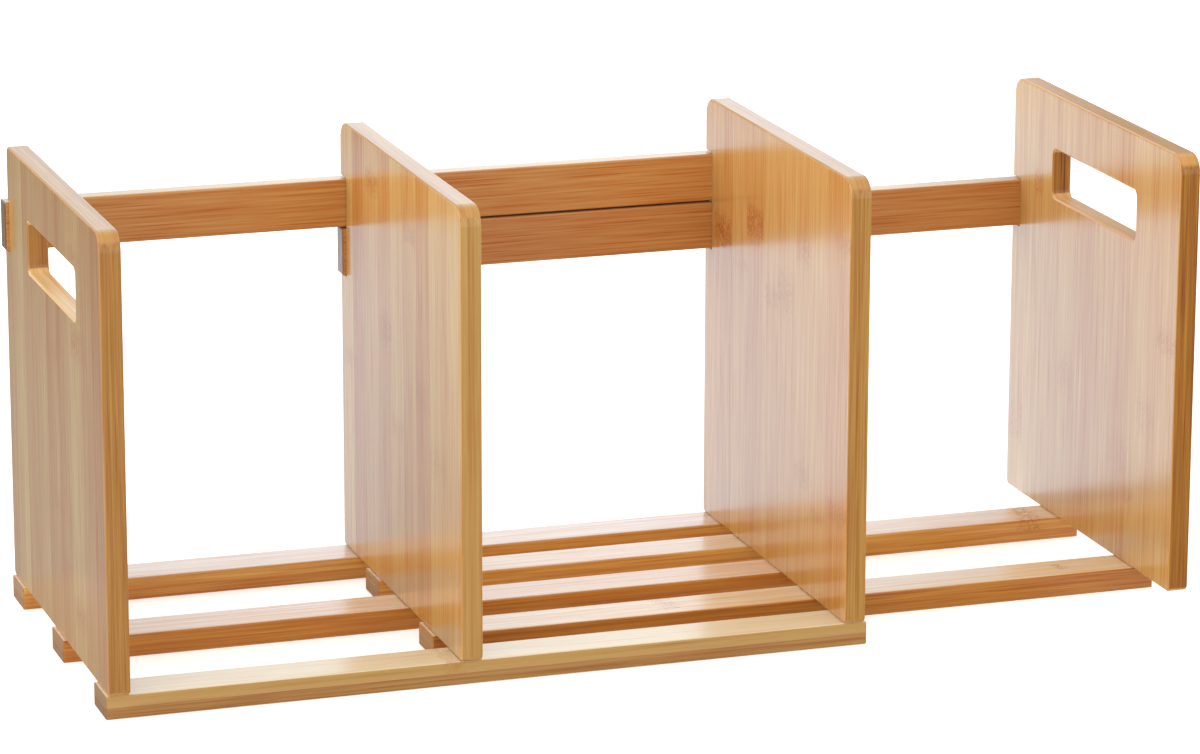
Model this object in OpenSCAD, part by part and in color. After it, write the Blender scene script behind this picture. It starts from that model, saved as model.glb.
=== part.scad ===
// Extending bamboo bookshelf for a desk or table top.
// Two frames slide sideways through each other. A frame is two upright boards
// that stand on floor slats and are tied together at the back by one rail.
// Origin: on the table under the middle of the shelf. +X to the right, +Y to the back.

/* [Boards] */
// Thickness of every upright board
board_t = 9; // [8:0.5:12]
// Depth of the boards, front edge to rear edge
board_depth = 180; // [160:1:240]
// Height of the boards alone, above the floor slats
board_h = 191; // [160:1:260]
// Radius of the upper corners of a board
top_corner_r = 8; // [5:0.5:14]
// Radius of the lower corners of a board
foot_corner_r = 2.5; // [2:0.5:6]
// How far the left end board is cut back behind, above its rail
left_setback = 6.5; // [2:0.5:7.5]
// Radius of the left end board's upper rear corner, on the cut-back edge
setback_corner_r = 4; // [3:0.5:8]
// Radius that eases every long edge of the boards, slats and rails
edge_r = 0.9; // [0.5:0.1:1.2]

/* [Frames] */
// Distance between the two boards of one frame, left face to left face
frame_pitch = 316; // [260:1:400]
// How far the right frame stands out of the left one
pull_out = 148; // [20:1:240]

/* [Floor slats] */
// Width of a floor slat
slat_w = 21; // [18:0.5:24]
// Height of a floor slat
slat_h = 10; // [8:0.5:14]
// Length of slat that shows past the outer face of a board
slat_proud = 1.25; // [0.5:0.25:2]
// How far the front and rear slats are set in from the edges of the boards
slat_inset = 1.5; // [0:0.5:4]
// How far the right frame's slats sit outside the middle of their gaps
inner_slat_shift = 2; // [0:0.5:4]

/* [Back rails] */
// Height of a back rail
rail_h = 21; // [16:0.5:26]
// Thickness of a back rail
rail_t = 9; // [8:0.5:12]
// Length of rail that shows past the outer face of a board
rail_proud = 1.75; // [0.5:0.25:3]
// Height of board above the upper rail
rail_drop = 24.5; // [20:0.5:60]
// Gap between the two rails
rail_gap = 0.8; // [0.4:0.1:1.5]
// Radius at the upper mouth of the dividers' notches
notch_mouth_r = 2; // [1:0.5:3]

/* [Handles] */
// Length of a handle slot, front to back
slot_l = 90; // [70:1:100]
// Height of a handle slot
slot_h = 22; // [16:0.5:26]
// Height of board above a handle slot
slot_drop = 24.5; // [18:0.5:32]
// Corner radius of a handle slot
slot_r = 3; // [2:0.5:6]
// Width of the bevel round the mouths of a handle slot
slot_bevel = 0.7; // [0.4:0.1:1.2]

/* [Clearances] */
// Room above and below the rails in a notch
notch_gap = 0.6; // [0.3:0.1:1]
// Room where one frame slides past the other
slide_gap = 0.4; // [0.2:0.1:0.8]
// Extra width of the relief over a passing slat, on each side
relief_side = 1.5; // [0.5:0.5:3]

/* [Screws] */
// Diameter of a screw's shank
screw_d = 3.5; // [3:0.5:4]
// Diameter of a countersunk head
screw_head_d = 7; // [6:0.5:8]
// Length of a screw that holds a slat
slat_screw_l = 30; // [25:1:40]
// Length of a screw that holds a rail
rail_screw_l = 25; // [20:1:32]
// Length of a screw's point
point_l = 4; // [3:0.5:6]
// Depth of a head below the face of the wood
head_sink = 0.4; // [0.2:0.1:0.8]
// Radial room round a screw in the piece that it clamps
shank_gap = 0.2; // [0.1:0.05:0.4]
// Radial room round a screw in the board that it bites into
pilot_gap = 0.05; // [0.02:0.01:0.1]

/* [Hidden] */
$fn = 48;

// A cut runs this far past the face that it leaves
past = 1;
// Flat end of a screw's point
point_d = 0.8;
// Cross recess in a screw's head: across, width of an arm, depth
recess_l = 4;
recess_w = 0.9;
recess_deep = 1.3;

BAMBOO = [0.86, 0.69, 0.47];
BAMBOO_RAIL = [0.78, 0.55, 0.32];
STEEL = [0.72, 0.72, 0.70];

rear_y = board_depth / 2;
front_y = -rear_y;
top_z = slat_h + board_h;
frame_l = frame_pitch + board_t;

// Left faces of the boards. The whole shelf is centred on the origin.
left_x = -(pull_out + frame_l) / 2;
right_x = left_x + pull_out;

// Middle lines of the slats: the left frame has three, the right frame two between them
outer_slat_y = rear_y - slat_inset - slat_w / 2;
inner_slat_y = outer_slat_y / 2 + inner_slat_shift;
left_slat_ys = [-outer_slat_y, 0, outer_slat_y];
right_slat_ys = [-inner_slat_y, inner_slat_y];

upper_rail_z = top_z - rail_drop - rail_h;
lower_rail_z = upper_rail_z - rail_gap - rail_h;
rail_line_z = upper_rail_z - rail_gap / 2;

head_h = (screw_head_d - screw_d) / 2;

// ---- Shapes that repeat ----

// Rectangle from the origin with four round corners
module round_rect(w, h, r) {
    translate([r, 0]) square([w - 2 * r, h]);
    translate([0, r]) square([w, h - 2 * r]);
    for (x = [r, w - r])
        for (y = [r, h - r])
            translate([x, y]) circle(r);
}

// Bar from the origin, l long in X, w wide in Y and h high, with all its edges eased
module eased_bar(l, w, h) {
    intersection() {
        translate([-past, 0, 0])
            rotate([90, 0, 90])
                linear_extrude(l + 2 * past) round_rect(w, h, edge_r);
        translate([0, w + past, 0])
            rotate([90, 0, 0])
                linear_extrude(w + 2 * past) round_rect(l, h, edge_r);
        translate([0, 0, -past])
            linear_extrude(h + 2 * past) round_rect(l, w, edge_r);
    }
}

// Disc of radius r, one board thick along +X, with an eased rim
module eased_disc(r) {
    rotate([0, 90, 0])
        rotate_extrude()
            intersection() {
                translate([-r, 0]) round_rect(2 * r, board_t, edge_r);
                square([r, board_t]);
            }
}

// Upright strip with eased edges, from y0 to y1 and z0 to z1
module eased_post(y0, y1, z0, z1) {
    translate([0, y0, z0]) linear_extrude(z1 - z0) round_rect(board_t, y1 - y0, edge_r);
}

// Level strip with eased edges, from y0 to y1 and z0 to z1
module eased_beam(y0, y1, z0, z1) {
    translate([0, y1, z0])
        rotate([90, 0, 0])
            linear_extrude(y1 - y0) round_rect(board_t, z1 - z0, edge_r);
}

// Board from the front edge to back_y and from the slats to up_z, with eased edges.
// Its two upper corners have a radius each.
module eased_board(back_y, up_z, front_r, back_r) {
    mid_y = (front_y + back_y) / 2;
    foot_z = slat_h + foot_corner_r;
    lap = 2 * edge_r;
    tall = 2 * max(front_r, back_r);
    eased_post(front_y, mid_y + lap, foot_z, up_z - front_r);
    eased_post(mid_y - lap, back_y, foot_z, up_z - back_r);
    eased_beam(front_y + front_r, back_y - back_r, up_z - tall, up_z);
    eased_beam(front_y + foot_corner_r, back_y - foot_corner_r, slat_h, foot_z + foot_corner_r);
    translate([0, front_y + front_r, up_z - front_r]) eased_disc(front_r);
    translate([0, back_y - back_r, up_z - back_r]) eased_disc(back_r);
    translate([0, front_y + foot_corner_r, foot_z]) eased_disc(foot_corner_r);
    translate([0, back_y - foot_corner_r, foot_z]) eased_disc(foot_corner_r);
}

// Cut in the rear edge of a board
module notch(z0, z1, deep) {
    translate([-past, rear_y - deep, z0]) cube([board_t + 2 * past, deep + past, z1 - z0]);
}

// Cut for both rails in a divider. The rail that passes gets room in front of it.
module divider_notch(upper_passes) {
    upper_room = upper_passes ? slide_gap : 0;
    lower_room = upper_passes ? 0 : slide_gap;
    mouth_z = upper_rail_z + rail_h + notch_gap;
    notch(rail_line_z, mouth_z, rail_t + upper_room);
    notch(lower_rail_z - notch_gap, rail_line_z, rail_t + lower_room);
    // Round upper mouth
    translate([-past, rear_y - notch_mouth_r, mouth_z])
        rotate([90, 0, 90])
            linear_extrude(board_t + 2 * past)
                difference() {
                    translate([0, -past]) square([notch_mouth_r + past, notch_mouth_r + past]);
                    translate([0, notch_mouth_r]) circle(notch_mouth_r);
                }
}

// Shallow relief under a board where the other frame's slat passes
module slat_relief(y) {
    relief_w = slat_w + 2 * relief_side;
    translate([-past, y - relief_w / 2, slat_h - past])
        cube([board_t + 2 * past, relief_w, slide_gap + past]);
}

// Handle slot through a board, with bevelled mouths. x is the board's left face.
module handle_slot() {
    low_z = top_z - slot_drop - slot_h;
    translate([0, -slot_l / 2, low_z]) {
        translate([-past, 0, 0])
            rotate([90, 0, 90])
                linear_extrude(board_t + 2 * past) round_rect(slot_l, slot_h, slot_r);
        slot_mouth();
        translate([board_t, 0, 0]) mirror([1, 0, 0]) slot_mouth();
    }
}

// Bevel round the mouth of a handle slot, on the face at x = 0
module slot_mouth() {
    wide = slot_bevel + past;
    for (y = [slot_r, slot_l - slot_r])
        for (z = [slot_r, slot_h - slot_r])
            translate([-past, y, z])
                rotate([0, 90, 0]) cylinder(h = wide, r1 = slot_r + wide, r2 = slot_r);
    // Long sides, then short sides
    translate([0, slot_l - slot_r, 0])
        rotate([90, 0, 0])
            linear_extrude(slot_l - 2 * slot_r)
                polygon([[-past, -wide], [slot_bevel, 0], [slot_bevel, slot_h], [-past, slot_h + wide]]);
    translate([0, 0, slot_r])
        linear_extrude(slot_h - 2 * slot_r)
            polygon([[-past, -wide], [slot_bevel, 0], [slot_bevel, slot_l], [-past, slot_l + wide]]);
}

// Countersunk wood screw along +Z. The wood's face is at z = 0.
module wood_screw(l) {
    difference() {
        translate([0, 0, head_sink])
            rotate_extrude()
                polygon([[0, 0], [screw_head_d / 2, 0], [screw_d / 2, head_h],
                         [screw_d / 2, l - point_l], [point_d / 2, l], [0, l]]);
        for (turn = [0, 90])
            rotate([0, 0, turn])
                translate([-recess_l / 2, -recess_w / 2, head_sink - past])
                    cube([recess_l, recess_w, recess_deep + past]);
    }
}

// Hole for a screw in the piece that it clamps, which is deep mm thick
module clamp_hole(deep) {
    wide_r = screw_head_d / 2 + shank_gap;
    bore_r = screw_d / 2 + shank_gap;
    rotate_extrude()
        polygon([[0, -past], [wide_r, -past], [wide_r, head_sink], [bore_r, head_sink + head_h],
                 [bore_r, deep + past], [0, deep + past]]);
}

// Blind hole for a screw in the board that it bites into
module pilot_hole(from, l) {
    translate([0, 0, from - past])
        cylinder(h = head_sink + l - from + past + shank_gap, r = screw_d / 2 + pilot_gap);
}

// Places at the middle of the board whose left face is at x = 0
module at_slat_screws(ys) {
    for (y = ys)
        translate([board_t / 2, y, 0]) children();
}

module at_rail_screw(rail_z) {
    translate([board_t / 2, rear_y, rail_z + rail_h / 2]) rotate([90, 0, 0]) children();
}

// Holes in one board for its slats and its rail
module board_holes(ys, rail_z) {
    at_slat_screws(ys) pilot_hole(slat_h, slat_screw_l);
    at_rail_screw(rail_z) pilot_hole(rail_t, rail_screw_l);
}

// Both boards of a frame whose left face is at x
module at_boards(x) {
    for (step = [0, frame_pitch])
        translate([x + step, 0, 0]) children();
}

module slat(x, y) {
    difference() {
        translate([x - slat_proud, y - slat_w / 2, 0])
            eased_bar(frame_l + 2 * slat_proud, slat_w, slat_h);
        at_boards(x) at_slat_screws([y]) clamp_hole(slat_h);
    }
}

module rail(x, z) {
    difference() {
        translate([x - rail_proud, rear_y - rail_t, z])
            eased_bar(frame_l + 2 * rail_proud, rail_t, rail_h);
        at_boards(x) at_rail_screw(z) clamp_hole(rail_t);
    }
}

// ---- Left frame ----

module left_end_board() {
    color(BAMBOO)
        translate([left_x, 0, 0])
            difference() {
                union() {
                    eased_board(rear_y, upper_rail_z + rail_h / 2, top_corner_r, foot_corner_r);
                    eased_board(rear_y - left_setback, top_z, top_corner_r, setback_corner_r);
                }
                notch(upper_rail_z - notch_gap, upper_rail_z + rail_h + notch_gap, rail_t);
                handle_slot();
                board_holes(left_slat_ys, upper_rail_z);
            }
}

module left_frame_divider() {
    color(BAMBOO)
        translate([left_x + frame_pitch, 0, 0])
            difference() {
                eased_board(rear_y, top_z, top_corner_r, top_corner_r);
                divider_notch(upper_passes = false);
                for (y = right_slat_ys) slat_relief(y);
                board_holes(left_slat_ys, upper_rail_z);
            }
}

module front_slat() { color(BAMBOO) slat(left_x, left_slat_ys[0]); }
module middle_slat() { color(BAMBOO) slat(left_x, left_slat_ys[1]); }
module rear_slat() { color(BAMBOO) slat(left_x, left_slat_ys[2]); }
module upper_back_rail() { color(BAMBOO_RAIL) rail(left_x, upper_rail_z); }

module left_slat_screws() {
    color(STEEL) at_boards(left_x) at_slat_screws(left_slat_ys) wood_screw(slat_screw_l);
}

module left_rail_screws() {
    color(STEEL) at_boards(left_x) at_rail_screw(upper_rail_z) wood_screw(rail_screw_l);
}

// ---- Right frame ----

module right_end_board() {
    color(BAMBOO)
        translate([right_x + frame_pitch, 0, 0])
            difference() {
                eased_board(rear_y, top_z, top_corner_r, top_corner_r);
                notch(lower_rail_z - notch_gap, lower_rail_z + rail_h + notch_gap, rail_t);
                handle_slot();
                board_holes(right_slat_ys, lower_rail_z);
            }
}

module right_frame_divider() {
    color(BAMBOO)
        translate([right_x, 0, 0])
            difference() {
                eased_board(rear_y, top_z, top_corner_r, top_corner_r);
                divider_notch(upper_passes = true);
                for (y = left_slat_ys) slat_relief(y);
                board_holes(right_slat_ys, lower_rail_z);
            }
}

module front_inner_slat() { color(BAMBOO) slat(right_x, right_slat_ys[0]); }
module rear_inner_slat() { color(BAMBOO) slat(right_x, right_slat_ys[1]); }
module lower_back_rail() { color(BAMBOO_RAIL) rail(right_x, lower_rail_z); }

module right_slat_screws() {
    color(STEEL) at_boards(right_x) at_slat_screws(right_slat_ys) wood_screw(slat_screw_l);
}

module right_rail_screws() {
    color(STEEL) at_boards(right_x) at_rail_screw(lower_rail_z) wood_screw(rail_screw_l);
}

left_end_board();
left_frame_divider();
front_slat();
middle_slat();
rear_slat();
upper_back_rail();
left_slat_screws();
left_rail_screws();
right_end_board();
right_frame_divider();
front_inner_slat();
rear_inner_slat();
lower_back_rail();
right_slat_screws();
right_rail_screws();
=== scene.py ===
"""Extending bamboo bookshelf for a table top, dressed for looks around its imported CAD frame.

Two frames of lacquered bamboo slide through each other. The boards, slats and rails are the CAD nodes
with a material for each piece, and the screws are made with Geometry Nodes.
"""

import math

import bpy
from mathutils import Matrix, Vector


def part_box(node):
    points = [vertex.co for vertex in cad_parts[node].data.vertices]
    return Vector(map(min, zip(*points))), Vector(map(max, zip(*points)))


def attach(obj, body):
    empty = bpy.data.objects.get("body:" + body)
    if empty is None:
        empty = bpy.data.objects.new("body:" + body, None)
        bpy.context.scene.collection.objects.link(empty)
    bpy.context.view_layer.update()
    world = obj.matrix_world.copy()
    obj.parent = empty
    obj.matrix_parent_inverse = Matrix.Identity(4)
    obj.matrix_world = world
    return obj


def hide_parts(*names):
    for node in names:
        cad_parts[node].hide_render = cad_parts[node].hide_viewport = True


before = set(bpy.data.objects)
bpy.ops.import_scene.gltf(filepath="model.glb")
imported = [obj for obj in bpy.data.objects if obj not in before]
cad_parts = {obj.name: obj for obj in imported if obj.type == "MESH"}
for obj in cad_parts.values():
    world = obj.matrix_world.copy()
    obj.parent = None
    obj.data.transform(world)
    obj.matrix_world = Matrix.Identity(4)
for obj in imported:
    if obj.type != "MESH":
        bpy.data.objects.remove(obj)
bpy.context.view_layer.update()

MM = 0.001

# ---- Pieces, and places worked out from the frame ----

LEFT_BOARDS = ("left_end_board", "left_frame_divider")
RIGHT_BOARDS = ("right_frame_divider", "right_end_board")
LEFT_SLATS = ("front_slat", "middle_slat", "rear_slat")
RIGHT_SLATS = ("front_inner_slat", "rear_inner_slat")


def middle(node):
    """Middle of a CAD node's box."""
    low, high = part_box(node)
    return (low + high) / 2


# ---- Short ways to build node trees ----

# A Mix node has sockets for every kind of value. These are its two inputs and its output for the kinds used
MIX_SOCKETS = {"VECTOR": (4, 5, 1), "RGBA": (6, 7, 2)}


class Graph:
    """Short ways to add nodes to one tree. A value may be a number, a tuple or a socket."""

    def __init__(self, tree):
        self.tree = tree

    def put(self, socket, value):
        if isinstance(value, bpy.types.NodeSocket):
            self.tree.links.new(value, socket)
        elif value is not None:
            socket.default_value = value

    def make(self, kind, values=None, **settings):
        made = self.tree.nodes.new(kind)
        for name, value in settings.items():
            setattr(made, name, value)
        for name, value in (values or {}).items():
            self.put(made.inputs[name], value)
        return made

    def add(self, kind, values=None, **settings):
        return self.make("ShaderNode" + kind, values, **settings)

    def geo(self, kind, values=None, **settings):
        return self.make("GeometryNode" + kind, values, **settings)

    def math(self, operation, a, b=None, clamp=False):
        return self.add("Math", {0: a, 1: b}, operation=operation, use_clamp=clamp).outputs[0]

    def plus(self, total, *others):
        for other in others:
            total = self.math("ADD", total, other)
        return total

    def minus(self, total, *others):
        for other in others:
            total = self.math("SUBTRACT", total, other)
        return total

    def times(self, total, *others):
        for other in others:
            total = self.math("MULTIPLY", total, other)
        return total

    def size_of(self, value):
        """The value without its sign."""
        return self.math("ABSOLUTE", value)

    def between(self, value, low, high):
        """1 where value is between low and high, and 0 elsewhere."""
        return self.times(self.math("GREATER_THAN", value, low), self.math("LESS_THAN", value, high))

    def vector(self, operation, a, b=None):
        made = self.add("VectorMath", {0: a, 1: b}, operation=operation)
        return made.outputs["Value" if operation == "DOT_PRODUCT" else "Vector"]

    def scale(self, vector, factor):
        return self.add("VectorMath", {0: vector, "Scale": factor}, operation="SCALE").outputs["Vector"]

    def in_steps(self, place, steps):
        """The place, counted in steps of the given length along each axis."""
        return self.vector("MULTIPLY", place, tuple(1 / length for length in steps))

    def step(self, value, low, high, to_low=0.0, to_high=1.0):
        """Smooth step from to_low at low to to_high at high."""
        values = {"Value": value, "From Min": low, "From Max": high, "To Min": to_low, "To Max": to_high}
        return self.add("MapRange", values, interpolation_type="SMOOTHSTEP").outputs["Result"]

    def ease(self, share, at_none, at_full):
        """Smooth step from at_none to at_full as share goes from 0 to 1."""
        return self.step(share, 0.0, 1.0, at_none, at_full)

    def blend(self, share, a, b, kind="RGBA"):
        """Colour or vector a, turning to b as share goes from 0 to 1."""
        first, second, result = MIX_SOCKETS[kind]
        made = self.add("Mix", data_type=kind)
        self.put(made.inputs["Factor"], share)
        self.put(made.inputs[first], a)
        self.put(made.inputs[second], b)
        return made.outputs[result]

    def noise(self, place, detail, rough, warp=0.0):
        values = {"Vector": place, "Scale": 1.0, "Detail": detail, "Roughness": rough, "Distortion": warp}
        return self.add("TexNoise", values).outputs["Fac"]

    def split(self, vector):
        return self.add("SeparateXYZ", {0: vector}).outputs

    def join(self, x, y, z):
        return self.add("CombineXYZ", {0: x, 1: y, 2: z}).outputs[0]


def new_group(name, inputs, outputs, kind="ShaderNodeTree"):
    """Node group with named inputs and outputs. Returns its graph, its inputs and what it puts out."""
    group = bpy.data.node_groups.new(name, kind)
    for label, socket_kind, value in inputs:
        socket = group.interface.new_socket(label, in_out="INPUT", socket_type="NodeSocket" + socket_kind)
        if value is not None:
            socket.default_value = value
    for label, socket_kind in outputs:
        group.interface.new_socket(label, in_out="OUTPUT", socket_type="NodeSocket" + socket_kind)
    graph = Graph(group)
    return graph, graph.make("NodeGroupInput").outputs, graph.make("NodeGroupOutput").inputs


def new_material(name):
    """Material with a Principled shader. Returns it, its graph and its shader."""
    made = bpy.data.materials.new(name)
    made.use_nodes = True
    return made, Graph(made.node_tree), made.node_tree.nodes["Principled BSDF"]


# ---- Camera ----

CAMERA_PLACE = Vector((-0.6722, -2.0273, 0.6661))
CAMERA_YAW = math.radians(18.359)
CAMERA_PITCH = math.radians(-14.810)
CAMERA_ROLL = math.radians(0.128)
FOCAL_MM = 155.35
SENSOR_MM = 36.0
NEAREST_SEEN = 0.05
FARTHEST_SEEN = 50


def make_camera():
    """Camera at the photograph's viewing angle. Its picture is 1200 by 754."""
    ahead = Vector((math.sin(CAMERA_YAW) * math.cos(CAMERA_PITCH),
                    math.cos(CAMERA_YAW) * math.cos(CAMERA_PITCH),
                    math.sin(CAMERA_PITCH)))
    right = Vector((math.cos(CAMERA_YAW), -math.sin(CAMERA_YAW), 0))
    up = right.cross(ahead)
    rolled_right = right * math.cos(CAMERA_ROLL) + up * math.sin(CAMERA_ROLL)
    rolled_up = up * math.cos(CAMERA_ROLL) - right * math.sin(CAMERA_ROLL)
    data = bpy.data.cameras.new("studio_camera")
    data.lens = FOCAL_MM
    data.sensor_width = SENSOR_MM
    data.clip_start = NEAREST_SEEN
    data.clip_end = FARTHEST_SEEN
    camera = bpy.data.objects.new("studio_camera", data)
    bpy.context.scene.collection.objects.link(camera)
    turn = Matrix((rolled_right, rolled_up, -ahead)).transposed().to_4x4()
    camera.matrix_world = Matrix.Translation(CAMERA_PLACE) @ turn
    bpy.context.scene.camera = camera


# ---- Studio: white paper, light from all round, and the sides of a light tent ----

FLOOR_HALF = 6.0
FLOOR_DROP = 0.0002
FLOOR_COLOUR = (0.93, 0.93, 0.93, 1)
FLOOR_ROUGHNESS = 0.9
FLOOR_GLOW = 0.5
FLOOR_FILL = 0.2
WHITE = (1, 1, 1, 1)
# Light from all round, and how much more comes from the lamp on the left
ROOM_LIGHT = 1.05
LEFT_LAMP = 0.67

# The tent's back wall and floor are cooler than the lamps. The other cards are dim, as painted shade in the
# reflections
BACK_SHEET = (0.79, 0.89, 1.0, 1)
FLOOR_SHEET = (0.61, 0.82, 1.0, 1)
FRONT_SHADE_SHEET = (0.2, 0.2, 0.2, 1)
LEFT_SHADE_SHEET = (0.02, 0.02, 0.02, 1)
UNDER_SHELF_SHADE = (0.3, 0.3, 0.3, 1)

# Edges of the cards, in metres
TENT_LEFT = -1.5
TENT_RIGHT = 1.5
TENT_BACK = 1.0
TENT_TOP = 1.3
WALL_RIGHT = 2.5
WALL_FOOT = 0.12
FLOOR_LEFT = -1.9
FLOOR_BACK = 0.999
FLOOR_LEVEL = 0.004
FRONT_EDGE = -2.5
FRONT_LEVEL = 0.003
UNDER_LEVEL = -0.0001
# The cards leave room for the shelf: in front, at its left end, and behind, where the room is less on the
# right and the line moves over between two places
CLEAR_FRONT = -0.10
CLEAR_LEFT = -0.27
CLEAR_REAR = 0.10
CLEAR_REAR_RIGHT = 0.088
REAR_MOVES = (0.12, 0.16)
UNDER_REAR = 0.12
LEFT_CARD_END = -0.2

# How each card's glow changes over it: a direction, two places along it, and the glow at each
TO_RIGHT = (1, 0, 0)
BACK_SLOPES = ((TO_RIGHT, -0.25, 0.25, 0.88, 1.63), (TO_RIGHT, 0.50, 0.70, 1.0, 0.18))
FLOOR_SLOPES = (((1, 0.33, 0), -0.14, 0.0, 0.4, 1.47), ((1, 0.33, 0), 0.0, 0.6, 1.0, 2.1),
                ((3, -1, 0), -2.2, -1.3, 0.3, 1.0))
UNDER_SLOPES = ((TO_RIGHT, 0.06, 0.12, 1.0, 0.25), (TO_RIGHT, 0.175, 0.21, 1.0, 8.0))


def flat_sheet(name, corners):
    """Flat mesh object of one face."""
    mesh = bpy.data.meshes.new(name)
    mesh.from_pydata(corners, [], [tuple(range(len(corners)))])
    sheet = bpy.data.objects.new(name, mesh)
    bpy.context.scene.collection.objects.link(sheet)
    return sheet


def lying(left, right, front, back, level):
    """Corners of a sheet that lies flat."""
    return [(left, front, level), (right, front, level), (right, back, level), (left, back, level)]


def standing(left, right, foot, top):
    """Corners of a sheet that stands upright at the tent's back."""
    return [(left, TENT_BACK, foot), (right, TENT_BACK, foot),
            (right, TENT_BACK, top), (left, TENT_BACK, top)]


def make_floor():
    floor = flat_sheet("floor", lying(-FLOOR_HALF, FLOOR_HALF, -FLOOR_HALF, FLOOR_HALF, -FLOOR_DROP))
    paper, g, shader = new_material("studio_paper")
    shader.inputs["Base Color"].default_value = FLOOR_COLOUR
    shader.inputs["Roughness"].default_value = FLOOR_ROUGHNESS
    shader.inputs["Specular IOR Level"].default_value = 0.0
    # The paper is lit from below too, as on a light table, and a little of that light fills in the shadows
    ray = g.add("LightPath").outputs
    glow = g.plus(g.times(ray["Is Camera Ray"], FLOOR_GLOW), g.times(ray["Is Diffuse Ray"], FLOOR_FILL))
    g.put(shader.inputs["Emission Strength"], glow)
    shader.inputs["Emission Color"].default_value = WHITE
    floor.data.materials.append(paper)


def reflection_card(name, colour, corners, slopes=()):
    """Studio card that only shows in reflections, as a painted reflection. Its glow is the product of its
    slopes.
    """
    card = flat_sheet(name, corners)
    for kind in ("camera", "diffuse", "shadow", "transmission", "volume_scatter"):
        setattr(card, "visible_" + kind, False)
    glow = bpy.data.materials.new(name)
    glow.use_nodes = True
    glow.node_tree.nodes.clear()
    g = Graph(glow.node_tree)
    strength = 1.0
    if slopes:
        place = g.add("TexCoord").outputs["Object"]
    for direction, low, high, at_low, at_high in slopes:
        along = g.vector("DOT_PRODUCT", place, direction)
        strength = g.times(g.step(along, low, high, at_low, at_high), strength)
    light = g.add("Emission", {"Color": colour, "Strength": strength})
    g.put(g.add("OutputMaterial").inputs["Surface"], light.outputs[0])
    card.data.materials.append(glow)


def make_cards():
    # The back wall grows brighter from left to right, and is dim beyond the shelf's right end
    reflection_card("back_card", BACK_SHEET,
                    standing(TENT_LEFT, WALL_RIGHT, WALL_FOOT, TENT_TOP), BACK_SLOPES)
    # The boards' left faces mirror the floor behind the shelf, which grows brighter from left to right
    outline = [(FLOOR_LEFT, CLEAR_FRONT), (CLEAR_LEFT, CLEAR_FRONT), (CLEAR_LEFT, CLEAR_REAR),
               (REAR_MOVES[0], CLEAR_REAR), (REAR_MOVES[1], CLEAR_REAR_RIGHT), (TENT_RIGHT, CLEAR_REAR_RIGHT),
               (TENT_RIGHT, FLOOR_BACK), (FLOOR_LEFT, FLOOR_BACK)]
    reflection_card("floor_card", FLOOR_SHEET, [(x, y, FLOOR_LEVEL) for x, y in outline], FLOOR_SLOPES)
    # The floor under the shelf as the reflections see it: painted shade, dim most of all under the right bay,
    # and bright at the right end board
    reflection_card("under_shade_card", UNDER_SHELF_SHADE,
                    lying(CLEAR_LEFT, TENT_RIGHT, CLEAR_FRONT, UNDER_REAR, UNDER_LEVEL), UNDER_SLOPES)
    # The foot of the back wall on the left, and the floor in front of the shelf: dark cards of painted shade
    # in the reflections
    reflection_card("left_shade_card", LEFT_SHADE_SHEET, standing(TENT_LEFT, LEFT_CARD_END, FLOOR_LEVEL, WALL_FOOT))
    reflection_card("front_shade_card", FRONT_SHADE_SHEET,
                    lying(TENT_LEFT, TENT_RIGHT, FRONT_EDGE, CLEAR_FRONT, FRONT_LEVEL))


def make_studio():
    world = bpy.data.worlds.new("studio")
    world.use_nodes = True
    sky = world.node_tree.nodes["Background"]
    sky.inputs["Color"].default_value = WHITE
    g = Graph(world.node_tree)
    to_right = g.split(g.add("TexCoord").outputs["Generated"])[0]
    to_left = g.math("MAXIMUM", g.times(to_right, -1), 0)
    g.put(sky.inputs["Strength"], g.plus(g.times(to_left, LEFT_LAMP), ROOM_LIGHT))
    bpy.context.scene.world = world
    bpy.context.scene.view_settings.view_transform = "Standard"
    make_floor()
    make_cards()


# ---- Grain of bamboo ----

# Sizes in the grain, in millimetres: across the strips, through the plies and along the fibres
STREAK_SIZE = (3.6, 2.4, 150)
BUNDLE_SIZE = (1.05, 0.8, 60)
SWAY_SIZE = (2.2, 2.2, 4.0)
TANGLE_SIZE = (3.6, 1.9, 1.0)
# Across the strips and through the plies, the fibres' size is the group's Fibre Width
FIBRE_SIZE = (1.0, 1.0, 55)
# A place on the outer faces counts as this far inside them
SKIN = 0.02
# How far the strips of a ply are set over from those of the ply below, as a share of their width
PLY_SHIFT = 0.37
# How far apart two strips' grain may start across and along the fibres, and their knuckles, in millimetres
START_ACROSS, START_ALONG, START_KNUCKLES = 53.0, 1900.0, 730.0
# How much a strip's tone may change from its one edge to the other
STRIP_SLOPE = 1.1
# A chance knuckle: how far the fibres' sway moves it, from where to where its band fades out, and how its
# strength follows its strip's tone
KNUCKLE_SWAY = 13.0
KNUCKLE_FADE = (3.0, 8.5)
KNUCKLE_STRENGTH = (0.1, 0.8, 0.35, 1.0)
# The small arrows in a knuckle: half their width, and how steep they are
ARROW_WIDTH = 3.1
ARROW_STEEPNESS = 0.9
# How the noise of a knuckle turns into marks, and from where to where a bundle's dot fades out
TANGLE_MARKS = (0.42, 0.57, 0.08, 1.0)
BUNDLE_FADE = (0.12, 0.34)
# A strip's glue line, as the share of its width from the middle: from where it starts to where it is full
GLUE_EDGE = (0.4925, 0.4995)
# A knuckle at a given place: how far its ends sway, and where its sides and its ends fade out, as shares of
# its width and length
HAND_SWAY = 1.1
HAND_SIDES = (0.47, 0.515)
HAND_ENDS = (0.12, 0.64)
# How squarely a surface faces a way to count as facing it, as a cosine: from not at all to in full
FACING = (0.6, 0.8)
END_FACING = (0.35, 0.6)
ARRIS_FACING = (0.985, 0.80)


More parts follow.
